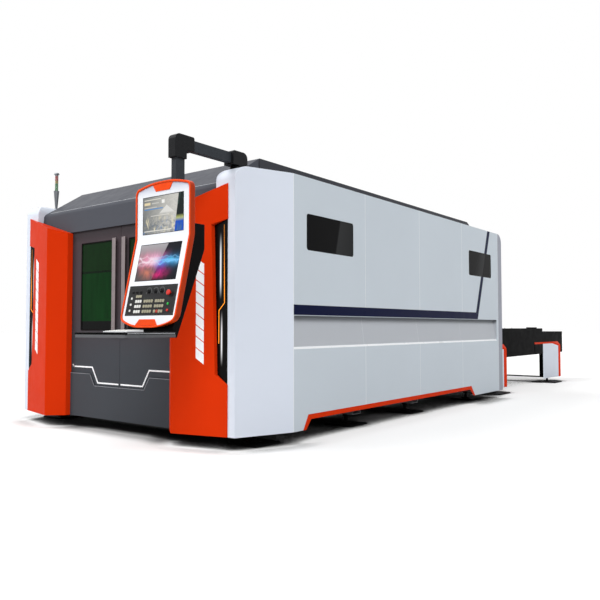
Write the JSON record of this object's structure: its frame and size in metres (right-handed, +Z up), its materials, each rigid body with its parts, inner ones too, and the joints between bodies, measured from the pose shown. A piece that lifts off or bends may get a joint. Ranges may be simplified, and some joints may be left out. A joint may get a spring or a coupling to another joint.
{
  "type": "fiber laser cutting machine",
  "caption": "Enclosed fiber laser cutting cell with sliding front doors, gantry, swinging operator pendant and a two-level pallet exchange table behind it.",
  "frame": {"origin": "middle of the machine's footprint, on the floor", "axes": "+X from the front doors to the exchange table's end, +Y to the side away from the pendant, +Z up"},
  "size_m": [9.75, 3.24, 2.533],
  "materials": {
    "housing_paint": "satin light grey-white paint",
    "orange_paint": "satin orange-red paint",
    "canopy_paint": "semi-gloss mid grey paint",
    "door_paint": "satin dark grey-brown paint",
    "bed_paint": "satin grey machine enamel",
    "table_paint": "matte black paint",
    "foot_black": "blackened",
    "steel": "ground",
    "pallet_steel": "mill finish",
    "aluminium": "anodised",
    "dark_pane": "dark tinted",
    "green_pane": "green laser-safe",
    "handle_metal": "satin",
    "tower_metal": "satin grey",
    "lamp_red": "clear red",
    "lamp_amber": "clear amber",
    "lamp_green": "clear green",
    "arm_metal": "satin near-black",
    "arm_tube_metal": "dark anodised",
    "pendant_orange": "satin orange-red",
    "pendant_white": "satin white",
    "tray_grey": "satin gunmetal",
    "pendant_black": "satin black",
    "screen_glass": "glossy screen",
    "key_black": "satin membrane",
    "keyboard_white": "matte",
    "stop_red": "gloss",
    "start_green": "gloss",
    "knob_black": "matte"
  },
  "bodies": {
    "machine": {"machine_bed": "bed_paint", "levelling_feet": "foot_black", "housing_frame": "bed_paint", "side_panels_right": "housing_paint", "side_panels_left": "housing_paint", "corner_cabinet_right": "housing_paint", "corner_cabinet_left": "housing_paint", "side_windows": "dark_pane", "sill_trims": "orange_paint", "front_column_right": "orange_paint", "front_column_left": "orange_paint", "column_light_boxes": "pendant_black", "front_canopy": "canopy_paint", "roof_cover": "canopy_paint", "rear_wall": "housing_paint", "front_skirt": "canopy_paint", "door_tracks": "steel", "tower_post": "tower_metal", "tower_green_lamp": "lamp_green", "tower_amber_lamp": "lamp_amber", "tower_red_lamp": "lamp_red", "arm_base": "arm_metal", "x_guides": "steel", "exchange_frame": "table_paint", "leg_covers": "housing_paint", "leg_rims": "orange_paint"},
    "right_door": {"door_leaf_right": "door_paint", "door_glass_right": "green_pane", "door_handle_right": "handle_metal"},
    "left_door": {"door_leaf_left": "door_paint", "door_glass_left": "green_pane", "door_handle_left": "handle_metal"},
    "arm": {"arm_block": "arm_metal", "arm_tube": "arm_tube_metal", "arm_elbow": "arm_metal", "drop_tube": "arm_tube_metal"},
    "pendant": {"pendant_housing": "pendant_black", "pendant_shell": "pendant_orange", "pendant_face": "pendant_white", "upper_screen": "screen_glass", "lower_screen": "screen_glass", "key_panel": "key_black", "pendant_tray": "tray_grey", "keyboard": "keyboard_white"},
    "emergency_stop_cap": {"emergency_stop": "stop_red"},
    "start_cap": {"start_button": "start_green"},
    "stop_cap": {"stop_button": "stop_red"},
    "knob_1": {"override_knob_1": "knob_black"},
    "knob_2": {"override_knob_2": "knob_black"},
    "knob_3": {"override_knob_3": "knob_black"},
    "gantry": {"gantry_beam": "aluminium"},
    "carriage": {"head_carriage": "aluminium"},
    "head": {"z_slide": "bed_paint", "cutting_head": "aluminium"},
    "upper_pallet_body": {"upper_pallet": "pallet_steel"},
    "lower_pallet_body": {"lower_pallet": "pallet_steel"},
    "upper_front_wheels": {"upper_wheels_front": "steel"},
    "upper_rear_wheels": {"upper_wheels_rear": "steel"},
    "lower_front_wheels": {"lower_wheels_front": "steel"},
    "lower_rear_wheels": {"lower_wheels_rear": "steel"}
  },
  "joints": [
    {"name": "right_door_slide", "type": "slide", "parent": "machine", "child": "right_door", "axis": [0, -1, 0], "range_m": [0, 0.46]},
    {"name": "left_door_slide", "type": "slide", "parent": "machine", "child": "left_door", "axis": [0, 1, 0], "range_m": [0, 0.46]},
    {"name": "arm_swivel", "type": "hinge", "parent": "machine", "child": "arm", "pos_m": [-3.627, -1.325, 2.2], "axis": [0, 0, 1], "range_deg": [0, 90]},
    {"name": "pendant_swivel", "type": "hinge", "parent": "arm", "child": "pendant", "pos_m": [-4.232, -1.325, 1.65], "axis": [0, 0, 1], "range_deg": [-90, 90]},
    {"name": "emergency_stop_press", "type": "slide", "parent": "pendant", "child": "emergency_stop_cap", "axis": [0.9751, 0, -0.2215], "range_m": [0, 0.006], "stiffness_N_per_m": 1500, "springref_m": -0.002},
    {"name": "start_press", "type": "slide", "parent": "pendant", "child": "start_cap", "axis": [0.9751, 0, -0.2215], "range_m": [0, 0.003], "stiffness_N_per_m": 800, "springref_m": -0.001},
    {"name": "stop_press", "type": "slide", "parent": "pendant", "child": "stop_cap", "axis": [0.9751, 0, -0.2215], "range_m": [0, 0.003], "stiffness_N_per_m": 800, "springref_m": -0.001},
    {"name": "knob_1_turn", "type": "hinge", "parent": "pendant", "child": "knob_1", "pos_m": [-4.45338, -1.29, 1.167], "axis": [-0.9751, 0, 0.2215], "range_deg": [-135, 135]},
    {"name": "knob_2_turn", "type": "hinge", "parent": "pendant", "child": "knob_2", "pos_m": [-4.45338, -1.358, 1.167], "axis": [-0.9751, 0, 0.2215], "range_deg": [-135, 135]},
    {"name": "knob_3_turn", "type": "hinge", "parent": "pendant", "child": "knob_3", "pos_m": [-4.45315, -1.421, 1.168], "axis": [-0.9751, 0, 0.2215], "range_deg": [-135, 135]},
    {"name": "gantry_travel", "type": "slide", "parent": "machine", "child": "gantry", "axis": [1, 0, 0], "range_m": [-2.7, 0.38]},
    {"name": "carriage_travel", "type": "slide", "parent": "gantry", "child": "carriage", "axis": [0, 1, 0], "range_m": [-0.78, 0.78]},
    {"name": "head_lift", "type": "slide", "parent": "carriage", "child": "head", "axis": [0, 0, 1], "range_m": [-0.05, 0.07]},
    {"name": "upper_pallet_travel", "type": "slide", "parent": "machine", "child": "upper_pallet_body", "axis": [-1, 0, 0], "range_m": [0, 4]},
    {"name": "lower_pallet_travel", "type": "slide", "parent": "machine", "child": "lower_pallet_body", "axis": [1, 0, 0], "range_m": [0, 4]},
    {"name": "upper_front_wheels_roll", "type": "hinge", "parent": "upper_pallet_body", "child": "upper_front_wheels", "pos_m": [1.9305, 0, 0.73], "axis": [0, 1, 0], "continuous": true},
    {"name": "upper_rear_wheels_roll", "type": "hinge", "parent": "upper_pallet_body", "child": "upper_rear_wheels", "pos_m": [4.0655, 0, 0.73], "axis": [0, 1, 0], "continuous": true},
    {"name": "lower_front_wheels_roll", "type": "hinge", "parent": "lower_pallet_body", "child": "lower_front_wheels", "pos_m": [-2.0695, 0, 0.54], "axis": [0, 1, 0], "continuous": true},
    {"name": "lower_rear_wheels_roll", "type": "hinge", "parent": "lower_pallet_body", "child": "lower_rear_wheels", "pos_m": [0.0655, 0, 0.54], "axis": [0, 1, 0], "continuous": true}
  ],
  "couplings": [
    {"joint": "lower_pallet_travel", "follows": "upper_pallet_travel", "ratio": 1}
  ]
}
